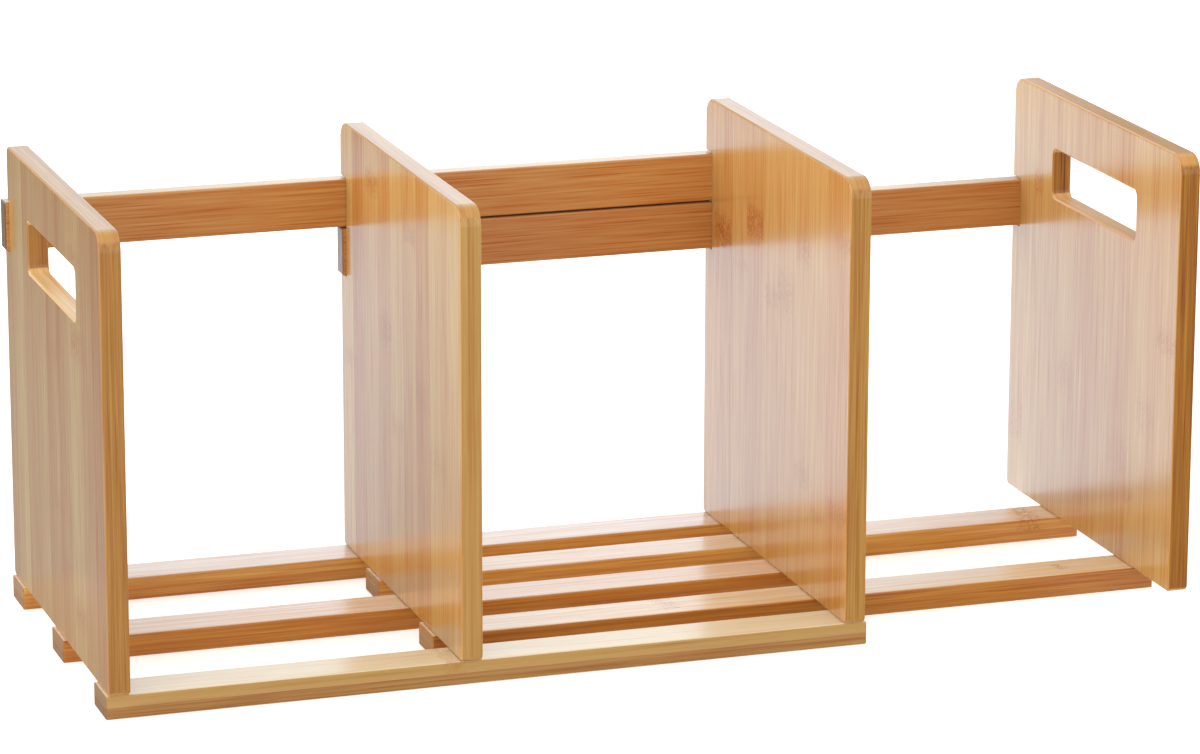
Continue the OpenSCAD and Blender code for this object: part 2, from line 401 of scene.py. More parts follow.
def make_grain_group():
    """Grain of laminated bamboo. The place is in millimetres: across the strips, through the plies and along
    the fibres."""
    g, given, gives = new_group(
        "bamboo_grain",
        [("Place", "Vector", None), ("Strip Width", "Float", 20.0), ("Strip Start", "Float", 0.0),
         ("Thickness", "Float", 9.0), ("Ply Thickness", "Float", 3.0), ("Seed", "Float", 0.0),
         ("Fibre Width", "Float", 0.9), ("Knuckle Spacing", "Float", 220.0),
         ("Knuckles From", "Float", 3.2), ("Knuckles To", "Float", 10.0),
         ("Ply Step", "Float", 0.0), ("Lowest Ply", "Float", 0.0)],
        [("Strip Tone", "Float"), ("Streaks", "Float"), ("Fibres", "Float"), ("Bundles", "Float"),
         ("Knuckles", "Float"), ("Glue Lines", "Float"), ("Sway", "Float"), ("Tangle", "Float")],
    )
    across, through, along = g.split(given["Place"])
    through = g.math("MINIMUM", g.math("MAXIMUM", through, SKIN), g.minus(given["Thickness"], SKIN))
    ply = g.math("FLOOR", g.math("DIVIDE", through, given["Ply Thickness"]))
    # Strips of neighbouring plies don't line up
    moved = g.minus(g.plus(across, g.times(ply, PLY_SHIFT, given["Strip Width"])), given["Strip Start"])
    in_strips = g.math("DIVIDE", moved, given["Strip Width"])
    strip = g.math("FLOOR", in_strips)
    from_middle = g.minus(g.math("FRACT", in_strips), 0.5)
    chance = g.add("TexWhiteNoise", {"Vector": g.join(strip, ply, given["Seed"])}, noise_dimensions="3D")
    red, green, blue = g.add("SeparateColor", {0: chance.outputs["Color"]}).outputs
    # Each strip has a tone, which changes a little over its width, and from ply to ply
    tone = g.plus(red, g.times(from_middle, g.minus(green, 0.5), STRIP_SLOPE),
                  g.times(ply, given["Ply Step"]),
                  g.times(g.math("LESS_THAN", ply, 0.5), given["Lowest Ply"]))
    # Each strip is its own piece of cane, so its fibres start anew
    own_along = g.plus(along, g.times(blue, START_ALONG))
    own = g.join(g.plus(moved, g.times(red, START_ACROSS)), through, own_along)
    streaks = g.noise(g.in_steps(own, STREAK_SIZE), detail=3.0, rough=0.75)
    narrow = g.vector("DIVIDE", own, g.join(given["Fibre Width"], given["Fibre Width"], 1.0))
    fibres = g.noise(g.in_steps(narrow, FIBRE_SIZE), detail=2.0, rough=0.6)
    # Distance from the nearest fibre bundle, which shows as a dot on an end
    bundle = g.add("TexVoronoi", {"Vector": g.in_steps(own, BUNDLE_SIZE), "Scale": 1.0, "Randomness": 1.0},
                   feature="F1", distance="EUCLIDEAN").outputs["Distance"]
    # Knuckles of the cane that fall by chance: short bands of tangled fibres, one strip wide
    spread = g.math("DIVIDE", g.plus(own_along, g.times(green, START_KNUCKLES)), given["Knuckle Spacing"])
    from_knuckle = g.times(g.minus(g.math("FRACT", spread), 0.5), given["Knuckle Spacing"])
    sway = g.minus(g.noise(g.in_steps(own, SWAY_SIZE), detail=1.0, rough=0.6), 0.5)
    from_knuckle = g.plus(from_knuckle, g.times(sway, KNUCKLE_SWAY))
    band = g.step(g.size_of(from_knuckle), *KNUCKLE_FADE, 1.0, 0.0)
    # The fibres cross over in a knuckle, in small arrow shapes
    arrows = g.plus(along, g.times(g.math("PINGPONG", across, ARROW_WIDTH), ARROW_STEEPNESS))
    crossing = g.in_steps(g.join(across, through, arrows), TANGLE_SIZE)
    tangle = g.step(g.noise(crossing, detail=2.0, rough=0.6, warp=0.8), *TANGLE_MARKS)
    knuckles = g.times(band, tangle, g.step(red, *KNUCKLE_STRENGTH),
                       g.between(through, given["Knuckles From"], given["Knuckles To"]))
    for label, value in {
        "Strip Tone": tone, "Streaks": streaks, "Fibres": fibres,
        "Bundles": g.step(bundle, *BUNDLE_FADE, 1.0, 0.0), "Knuckles": knuckles,
        "Glue Lines": g.step(g.size_of(from_middle), *GLUE_EDGE), "Sway": sway, "Tangle": tangle,
    }.items():
        g.put(gives[label], value)
    return g.tree


def make_knuckle_group():
    """One knuckle of the cane, at a given place in millimetres. It is added to the knuckles before it."""
    g, given, gives = new_group(
        "cane_knuckle",
        [("Before", "Float", 0.0), ("Place", "Vector", None),
         ("Across", "Float", 0.0), ("Along", "Float", 0.0),
         ("Width", "Float", 20.0), ("Length", "Float", 12.0), ("Strength", "Float", 1.0),
         ("From", "Float", 0.0), ("To", "Float", 3.2), ("Sway", "Float", 0.0), ("Tangle", "Float", 1.0)],
        [("Knuckles", "Float")],
    )
    across, through, along = g.split(given["Place"])
    aside = g.size_of(g.math("DIVIDE", g.minus(across, given["Across"]), given["Width"]))
    away = g.math("DIVIDE", g.minus(along, given["Along"]), given["Length"])
    away = g.size_of(g.plus(away, g.times(given["Sway"], HAND_SWAY)))
    mark = g.times(g.step(aside, *HAND_SIDES, 1.0, 0.0), g.step(away, *HAND_ENDS, 1.0, 0.0), given["Tangle"],
                   given["Strength"], g.between(through, given["From"], given["To"]))
    g.put(gives["Knuckles"], g.math("MAXIMUM", mark, given["Before"]))
    return g.tree


def make_sides_group():
    """Which way a surface faces on a piece of wood, from its normal: across, through and along the fibres.
    An arris is an edge between two sides."""
    g, given, gives = new_group(
        "wood_sides", [("Normal", "Vector", None)],
        [("Face", "Float"), ("Side", "Float"), ("End", "Float"), ("Arris", "Float")],
    )
    across, through, along = [g.size_of(part) for part in g.split(given["Normal"])]
    largest = g.math("MAXIMUM", across, g.math("MAXIMUM", through, along))
    g.put(gives["Face"], g.step(through, *FACING))
    g.put(gives["Side"], g.step(across, *FACING))
    g.put(gives["End"], g.step(along, *END_FACING))
    g.put(gives["Arris"], g.step(largest, *ARRIS_FACING))
    return g.tree


# ---- Colour and lacquer of bamboo ----

# Bare bamboo, in the dividers' notches and where the rails slide on each other, linear. It is darker than the
# lacquered wood, which also paints the shade in the thin gap between the rails
RAW_WOOD_AND_GAP_SHADE = (0.42, 0.17, 0.045)
# How much more the streaks show on a side, and the fibres on an end
SIDE_STREAKS = 1.5
END_FIBRES = 1.3
# How much the dots of the fibre bundles show away from the ends, and on them
BUNDLE_DOTS = (0.25, 0.7)
# How far a mark turns the wood to the knuckles' colour. The arrises turn a little warmer too
WARMING = {"Knuckles": 0.8, "Glue Lines": 0.35, "Arris": 0.14}
# The lacquer's weight, how much a deep tone takes of it, and how much a knuckle or an arris
FULL_LACQUER = 0.965
DEEP_TONE_TAKES = 0.02
TAKES_LACQUER = {"Knuckles": 0.2, "Arris": 0.45}
# Roughness of the wood under the lacquer, how far the fibres vary it, and what makes it rougher
WOOD_ROUGHNESS = 0.36
FIBRE_ROUGHNESS = 0.16
ROUGHER = {"Arris": 0.08, "End": 0.12, "Raw": 0.5}
# Relief of the marks, as shares of the bump's height. Bundles and glue lines lie low
RELIEF = {"Fibres": 0.6, "Bundles": -0.4, "Knuckles": 0.5, "Glue Lines": -0.8}


def make_tint_group():
    """Colour of bamboo from its grain, with a colour pair for the faces, the sides and the ends."""
    g, given, gives = new_group(
        "bamboo_tint",
        [("Strip Tone", "Float", 0.5), ("Streaks", "Float", 0.5), ("Fibres", "Float", 0.5),
         ("Bundles", "Float", 0.0), ("Knuckles", "Float", 0.0), ("Glue Lines", "Float", 0.0),
         ("Side", "Float", 0.0), ("End", "Float", 0.0), ("Arris", "Float", 0.0),
         ("Pale", "Color", None), ("Deep", "Color", None), ("Side Pale", "Color", None),
         ("Side Deep", "Color", None), ("End Pale", "Color", None), ("End Deep", "Color", None),
         ("Knuckle", "Color", None),
         ("Tone Spread", "Float", 0.5), ("Side Spread", "Float", 0.35), ("Streak Depth", "Float", 0.8),
         ("Fibre Depth", "Float", 0.6), ("End Lacquer", "Float", 1.0), ("Raw", "Float", 0.0)],
        [("Color", "Color"), ("Roughness", "Float"), ("Height", "Float"), ("Lacquer", "Float")],
    )
    side, end = given["Side"], given["End"]
    # On a side the plies show, and they may be more alike than strips are
    spread = g.ease(side, 1.0, given["Side Spread"])
    strips = g.times(g.minus(given["Strip Tone"], 0.5), given["Tone Spread"], spread)
    streak_depth = g.times(given["Streak Depth"], g.ease(side, 1.0, SIDE_STREAKS))
    streaks = g.times(g.minus(given["Streaks"], 0.5), streak_depth)
    fibre_depth = g.times(given["Fibre Depth"], g.ease(end, 1.0, END_FIBRES))
    fibres = g.times(g.minus(given["Fibres"], 0.5), fibre_depth)
    dots = g.times(given["Bundles"], g.ease(end, *BUNDLE_DOTS), given["Fibre Depth"])
    tone = g.math("ADD", g.plus(strips, streaks, fibres, 0.5), dots, clamp=True)
    wood = g.blend(tone, given["Pale"], given["Deep"])
    wood = g.blend(side, wood, g.blend(tone, given["Side Pale"], given["Side Deep"]))
    wood = g.blend(end, wood, g.blend(tone, given["End Pale"], given["End Deep"]))
    for mark, share in WARMING.items():
        wood = g.blend(g.times(given[mark], share), wood, given["Knuckle"])
    # Bare wood is a darker colour of its own, which also paints the shade in the thin gap between the rails
    g.put(gives["Color"], g.blend(given["Raw"], wood, (*RAW_WOOD_AND_GAP_SHADE, 1)))
    # Deep fibres and knuckles take the lacquer in, so they shine a little less. It is worn on the arrises,
    # thinner on the ends, and raw wood has none
    lacquer = g.minus(FULL_LACQUER, g.times(tone, DEEP_TONE_TAKES),
                      *[g.times(given[mark], share) for mark, share in TAKES_LACQUER.items()])
    lacquer = g.times(lacquer, g.ease(end, 1.0, given["End Lacquer"]), g.minus(1.0, given["Raw"]))
    g.put(gives["Lacquer"], lacquer)
    g.put(gives["Roughness"], g.plus(
        WOOD_ROUGHNESS, g.times(g.minus(given["Fibres"], 0.5), FIBRE_ROUGHNESS),
        *[g.times(given[mark], more) for mark, more in ROUGHER.items()]))
    g.put(gives["Height"], g.plus(*[g.times(given[mark], high) for mark, high in RELIEF.items()]))
    return g.tree


GRAIN = make_grain_group()
CANE_KNUCKLE = make_knuckle_group()
SIDES = make_sides_group()
TINT = make_tint_group()

# ---- Bamboo of each piece ----

RAIL_TOP = (0.64, 0.36, 0.10)
# Middle colours of the wood, linear: on each piece's faces, on its sides and on its end grain. A slat's faces
# are its top and its underside, and a rail's are its front and its back. Besides the wood's own tone, the
# colours hold painted light and shade from piece to piece: the left end board's faces are darker and the
# right end board's sides much darker, as painted shade, and the inner slats' tops and the rear slats' sides
# are paler, as painted light between the boards and the slats
WOOD_TONE_AND_LIGHT = {
    "left_end_board": ((0.53, 0.252, 0.046), (0.385, 0.162, 0.026), (0.54, 0.275, 0.06)),
    "left_frame_divider": ((0.63, 0.303, 0.056), (0.41, 0.18, 0.025), (0.53, 0.27, 0.07)),
    "right_frame_divider": ((0.68, 0.34, 0.062), (0.45, 0.23, 0.053), (0.55, 0.29, 0.07)),
    "right_end_board": ((0.60, 0.300, 0.058), (0.318, 0.090, 0.002), (0.62, 0.32, 0.08)),
    "front_slat": ((0.75, 0.46, 0.16), (0.385, 0.172, 0.033), (0.29, 0.145, 0.048)),
    "front_inner_slat": ((0.96, 0.70, 0.28), (0.50, 0.185, 0.021), (0.54, 0.28, 0.08)),
    "middle_slat": ((0.96, 0.69, 0.32), (0.555, 0.200, 0.0185), (0.35, 0.18, 0.06)),
    "rear_inner_slat": ((0.96, 0.70, 0.32), (0.735, 0.352, 0.057), (0.46, 0.225, 0.068)),
    "rear_slat": ((0.78, 0.54, 0.27), (0.685, 0.318, 0.0555), (0.40, 0.24, 0.10)),
    "upper_back_rail": ((0.575, 0.235, 0.040), RAIL_TOP, (0.20, 0.11, 0.035)),
    "lower_back_rail": ((0.52, 0.190, 0.032), RAIL_TOP, (0.33, 0.17, 0.055)),
}
KNUCKLE = (0.42, 0.11, 0.015)
# The floor of a handle slot is painted paler, as painted light against the shade of its recess. The slot lies
# this far from the board's front and from its foot, in millimetres
SLOT_FLOORS_PAINTED_LIGHT = {"left_end_board": (0.79, 0.50, 0.19), "right_end_board": (0.73, 0.425, 0.15)}
HANDLE_SLOT = ((44, 136), (143.5, 167.5))

# How much faster green and blue fall off than red as the grain gets deeper. No shade is paler than PALEST
FACE_POWERS = (1.0, 3.1, 7.0)
SIDE_POWERS = (1.0, 2.3, 4.0)
END_POWERS = SIDE_POWERS
PALEST = 0.97
# The end grain is taken from this far across the strips, in millimetres
END_SHIFT = 61.0
# Relief of the grain, and the gloss of the wood and of the lacquer on it
BUMP_STRENGTH = 0.35
BUMP_MM = 0.03
WOOD_SPECULAR = 0.25
LACQUER_ROUGHNESS = 0.2
LACQUER_IOR = 1.5

# What the pieces of a kind share. order names the axes across the strips, through the plies and along the
# fibres. ply is a ply's thickness in millimetres. hidden gives the depths between which knuckles fall by
# chance, on the side that the photo doesn't show
FAR_SIDE = (8.7, 10)
UNDERSIDE = (-1, 0.3)
BOARD = dict(order="yxz", ply=3.0, hidden=FAR_SIDE, end_lacquer=1.0)
SLAT = dict(order="yzx", strip=26.0, start=-2.0, ply=5.0, hidden=UNDERSIDE,
            contrasts=(0.155, 0.22, 0.12), side_spread=1.0, end_lacquer=0.45)
RAIL = dict(order="zyx", strip=26.0, start=-2.0, ply=4.5, hidden=FAR_SIDE,
            contrasts=(0.165, 0.2, 0.12), streaks=0.65, fibres=1.75, fibre_width=1.05, end_lacquer=0.9)

# Each board's seed, the width of its strips, where the first one starts, the contrast on its sides, and how
# much its strips' tones differ
BOARDS = {
    "left_end_board": (3, 21.3, 17.0, 0.20, 0.6), "right_frame_divider": (11, 19.4, 5.6, 0.12, 0.5),
    "left_frame_divider": (5, 19.6, 6.8, 0.24, 0.3), "right_end_board": (17, 19.4, 9.2, 0.42, 0.3),
}
# Each slat's seed, how much deeper its upper ply is, and how much deeper its lower ply is. A deeper lower ply
# makes the slat darker towards the floor
SLATS = {
    "front_slat": (2, -2.0, 0), "front_inner_slat": (7, 0, 0.6), "middle_slat": (13, 0, 0.1),
    "rear_inner_slat": (19, 0, 0.9), "rear_slat": (23, 0, 1.3),
}
UPPER_RAIL_SEED = 29
LOWER_RAIL_SEED = 31
# How far the boards' shades lie from the middle colour on their faces and on their ends
FACE_CONTRAST = 0.17
END_CONTRAST = 0.12
# In millimetres: how far a raw side is taken past a notch or a rail's end, and a length that no rail reaches
RAW_MARGIN = 1
PAST_THE_END = 400

# Knuckles seen in the photo, in millimetres on each piece, and the depths between which they show. On a
# board: how far from its front edge and from its foot, then width, length and strength. On a slat: how far
# from its front and from its left end, then the same
OUTER_PLY = (-1.0, 3.2)
ALL_PLIES = (-1.0, 20.0)
LOWER_PLY = (-1.0, 5.0)
UPPER_PLY = (5.0, 20.0)
KNUCKLES = {
    ("left_end_board", OUTER_PLY): [
        (42, 135, 28, 14, 0.6), (48, 19, 21, 12, 0.6), (70, 33, 22, 14, 0.4), (48, 171, 21, 8, 0.5),
        (92, 122, 21, 14, 0.3), (91, 58, 21, 11, 0.3),
    ],
    ("right_frame_divider", OUTER_PLY): [
        (55, 98, 20, 19, 0.3), (111, 114, 20, 16, 0.5), (73.5, 164, 19, 9, 0.5), (32, 76, 26, 17, 0.3),
        (92, 76, 18, 13, 0.3), (130, 174, 20, 11, 0.7), (165, 88, 20, 8, 0.4),
    ],
    ("left_frame_divider", OUTER_PLY): [
        (115, 147.5, 21, 18, 1.1), (156, 135, 21, 15, 1.4), (55, 150, 18, 16, 0.5), (54.5, 51, 19, 14, 0.4),
        (76, 125, 21, 20, 0.45), (94, 120, 16, 12, 0.4), (34, 37, 18, 7, 0.35), (132, 126, 19, 13, 0.35),
    ],
    ("left_frame_divider", ALL_PLIES): [(11, 45, 22, 11, 0.5), (9, 162, 18, 9, 0.5)],
    ("right_end_board", OUTER_PLY): [
        (29, 71, 19, 19, 0.35), (57, 47, 20, 20, 0.35), (115.5, 67, 17, 20, 0.35), (44, 30, 10, 12, 0.4),
        (171, 33, 16, 22, 0.4), (150, 147, 10, 13, 0.6),
    ],
    ("right_end_board", ALL_PLIES): [(10, 108, 20, 12, 0.55)],
    ("front_slat", UPPER_PLY): [(10.5, 146, 22, 9, 0.5)],
    ("front_slat", LOWER_PLY): [(10.5, 243, 22, 8, 0.5)],
    ("front_inner_slat", UPPER_PLY): [(13, 107, 16, 12, 0.5), (11, 288, 8, 5, 0.7)],
    ("rear_inner_slat", UPPER_PLY): [(10.5, 305, 22, 12, 0.8)],
}


def shades(colour, contrast, powers):
    """Pale and deep shade round a middle colour. Blue falls off fastest, so a deeper shade is also warmer."""
    pale = [min(c * (1 + contrast) ** k, PALEST) for c, k in zip(colour, powers)]
    deep = [c * (1 - contrast) ** k for c, k in zip(colour, powers)]
    return {"Pale": (*pale, 1), "Deep": (*deep, 1)}


def add_knuckles(g, node, place, grain):
    """The knuckles that fall by chance, and then the piece's own ones from the photo."""
    knuckles = grain.outputs["Knuckles"]
    for (piece, (shallow, deep)), marks in KNUCKLES.items():
        for across, along, width, length, strength in marks if piece == node else ():
            mark = g.add("Group", {
                "Before": knuckles, "Place": place, "Across": across, "Along": along, "Width": width,
                "Length": length, "Strength": strength, "From": shallow, "To": deep,
                "Sway": grain.outputs["Sway"], "Tangle": grain.outputs["Tangle"],
            }, node_tree=CANE_KNUCKLE)
            knuckles = mark.outputs["Knuckles"]
    return knuckles


def bamboo(node, seed, order, strip, start, ply, hidden, contrasts, end_lacquer, spread=0.3, side_spread=0.35,
           ply_step=0.0, lowest_ply=0.0, streaks=1.0, fibres=1.2, fibre_width=1.0, raw=None, slot=None):
    """Lacquered bamboo for one piece.

    strip is the width of its strips, start where the first one begins, and spread how much their tones
    differ. contrasts says how far the shades lie from the middle colours on the faces, the sides and the
    ends. ply_step makes each ply deeper than the one before it, and lowest_ply makes only the first one
    deeper. raw is a side that was left unlacquered: which way it faces across the strips, and from where to
    where along the fibres. slot is where the handle slot lies, across the strips and along the fibres.
    """
    made, g, shader = new_material("bamboo_" + node)
    picks = ["xyz".index(axis) for axis in order]
    corner = g.vector("SUBTRACT", g.add("TexCoord").outputs["Object"], tuple(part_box(node)[0]))
    place = g.split(g.scale(corner, 1 / MM))
    across, through, along = [place[pick] for pick in picks]
    place = g.join(across, through, along)
    facing = g.split(g.add("NewGeometry").outputs["Normal"])
    sides = g.add("Group", {"Normal": g.join(*[facing[pick] for pick in picks])}, node_tree=SIDES)
    # The plies show as long lines on an end, so the grain turns to run across the strips there
    on_end = g.math("GREATER_THAN", sides.outputs["End"], 0.5)
    turned = g.blend(on_end, place, g.join(g.plus(through, END_SHIFT), through, across), kind="VECTOR")
    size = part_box(node)[1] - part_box(node)[0]
    grain = g.add("Group", {
        "Place": turned, "Strip Width": strip, "Strip Start": start, "Thickness": size[picks[1]] / MM,
        "Ply Thickness": ply, "Seed": seed, "Fibre Width": fibre_width, "Knuckles From": hidden[0],
        "Knuckles To": hidden[1], "Ply Step": ply_step, "Lowest Ply": lowest_ply,
    }, node_tree=GRAIN)
    tint = g.add("Group", {
        "Knuckle": (*KNUCKLE, 1), "Tone Spread": spread, "Side Spread": side_spread, "Streak Depth": streaks,
        "Fibre Depth": fibres, "End Lacquer": end_lacquer,
    }, node_tree=TINT)
    for source in (grain, sides):
        for out in source.outputs:
            if out.name in tint.inputs:
                g.put(tint.inputs[out.name], out)
    g.put(tint.inputs["Knuckles"], add_knuckles(g, node, place, grain))
    # Each piece's colours, with the painted light and shade that they hold
    for label, colour, contrast, powers in zip(("", "Side ", "End "), WOOD_TONE_AND_LIGHT[node], contrasts,
                                               (FACE_POWERS, SIDE_POWERS, END_POWERS)):
        for shade, value in shades(colour, contrast, powers).items():
            g.put(tint.inputs[label + shade], value)
    # The handle slot's floor is paler: painted light that lifts the shade of its recess
    if slot:
        slot_across, slot_along = slot
        inside = g.times(g.between(across, *slot_across), g.between(along, *slot_along))
        for shade, value in shades(SLOT_FLOORS_PAINTED_LIGHT[node], contrasts[2], END_POWERS).items():
            end_shade = tint.inputs["End " + shade]
            g.put(end_shade, g.blend(inside, tuple(end_shade.default_value), value))
    if raw:
        way, raw_from, raw_to = raw
        faces = g.step(g.times(facing[picks[0]], way), *FACING)
        g.put(tint.inputs["Raw"], g.times(faces, g.between(along, raw_from, raw_to)))
    bump = g.add("Bump", {
        "Height": tint.outputs["Height"], "Strength": BUMP_STRENGTH, "Distance": BUMP_MM * MM,
    })
    for label, value in {
        "Base Color": tint.outputs["Color"], "Roughness": tint.outputs["Roughness"],
        "Normal": bump.outputs["Normal"], "Coat Weight": tint.outputs["Lacquer"],
        "Specular IOR Level": WOOD_SPECULAR, "Coat Roughness": LACQUER_ROUGHNESS, "Coat IOR": LACQUER_IOR,
    }.items():
        g.put(shader.inputs[label], value)
    return made


def dress(node, material):
    """Gives a CAD node its material."""
    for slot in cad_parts[node].material_slots:
        slot.material = material


def dress_wood():
    # The notches for the rails were cut after the lacquer, so their walls are bare
    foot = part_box("left_frame_divider")[0].z
    notch = (1, (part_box("lower_back_rail")[0].z - foot) / MM - RAW_MARGIN,
             (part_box("upper_back_rail")[1].z - foot) / MM + RAW_MARGIN)
    for node, (seed, strip, start, side_contrast, spread) in BOARDS.items():
        dress(node, bamboo(node, seed, strip=strip, start=start, spread=spread,
                           contrasts=(FACE_CONTRAST, side_contrast, END_CONTRAST),
                           slot=HANDLE_SLOT if node.endswith("end_board") else None,
                           raw=notch if node.endswith("divider") else None, **BOARD))
    for node, (seed, ply_step, lowest_ply) in SLATS.items():
        dress(node, bamboo(node, seed, ply_step=ply_step, lowest_ply=lowest_ply, **SLAT))
    # The rails slide on each other, bare: the upper one's whole underside, and the lower one's top up to the
    # left frame's divider. Their darker bare colour also paints the shade in the gap between the rails
    divider = (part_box("left_frame_divider")[0].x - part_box("lower_back_rail")[0].x) / MM
    rails = {"upper_back_rail": (UPPER_RAIL_SEED, (-1, -RAW_MARGIN, PAST_THE_END)),
             "lower_back_rail": (LOWER_RAIL_SEED, (1, -RAW_MARGIN, divider))}
    for node, (seed, raw) in rails.items():
        dress(node, bamboo(node, seed, raw=raw, **RAIL))


# ---- Screws ----

# Sizes in millimetres, by the names of the tree's inputs
SCREW_SIZES = {
    "Head Radius": 3.5, "Head Rim": 0.35, "Shank Radius": 1.45, "Core Radius": 1.2, "Thread Radius": 1.75,
    "Thread Pitch": 1.5, "Point Length": 4.0, "Recess Width": 4.0, "Recess Arm": 0.9, "Recess Depth": 1.3,
}
SLAT_SCREW_LENGTH = 30.0
RAIL_SCREW_LENGTH = 25.0
TIP_RADIUS = 0.05
# How far a head lies below the wood
HEAD_SINK = 0.4
# The share of a screw's length that has no thread, and the length over which it narrows to the core there
SMOOTH_SHARE = 0.32
CORE_STEP = 0.4
# The thread ends this far before the tip. It runs in and out over a length, from a share of its height
THREAD_END = 1.2
RUN_IN = (1.5, 0.1)
RUN_OUT = (3.0, 0.12)
SCREW_SIDES = 24
COIL_SIDES = 14
SHARP_EDGE = math.radians(35)
FIRST_SEED = 40

STEEL_PALE = (0.70, 0.68, 0.64, 1)
STEEL_DEEP = (0.52, 0.50, 0.47, 1)
# Clouds in the steel, in steps per metre: where their edges lie, and the roughness that goes with them
CLOUDS = 900
CLOUD_EDGES = (0.25, 0.75)
STEEL_ROUGHNESS = (0.22, 0.46)
# Turning marks, in steps per metre, and their relief
TURNING_MARKS = (9000, 9000, 1400)
MARK_STRENGTH = 0.3
MARK_MM = 0.01


def make_steel():
    """Bright zinc-plated steel, a little clouded, with fine turning marks round the head."""
    made, g, shader = new_material("zinc_plated_steel")
    place = g.add("TexCoord").outputs["Object"]
    cloud = g.noise(g.scale(place, CLOUDS), detail=3.0, rough=0.6)
    marks = g.noise(g.vector("MULTIPLY", place, TURNING_MARKS), detail=2.0, rough=0.5)
    bump = g.add("Bump", {"Height": marks, "Strength": MARK_STRENGTH, "Distance": MARK_MM * MM})
    g.put(shader.inputs["Base Color"], g.blend(cloud, STEEL_PALE, STEEL_DEEP))
    g.put(shader.inputs["Roughness"], g.step(cloud, *CLOUD_EDGES, *STEEL_ROUGHNESS))
    g.put(shader.inputs["Normal"], bump.outputs["Normal"])
    shader.inputs["Metallic"].default_value = 1.0
    return made


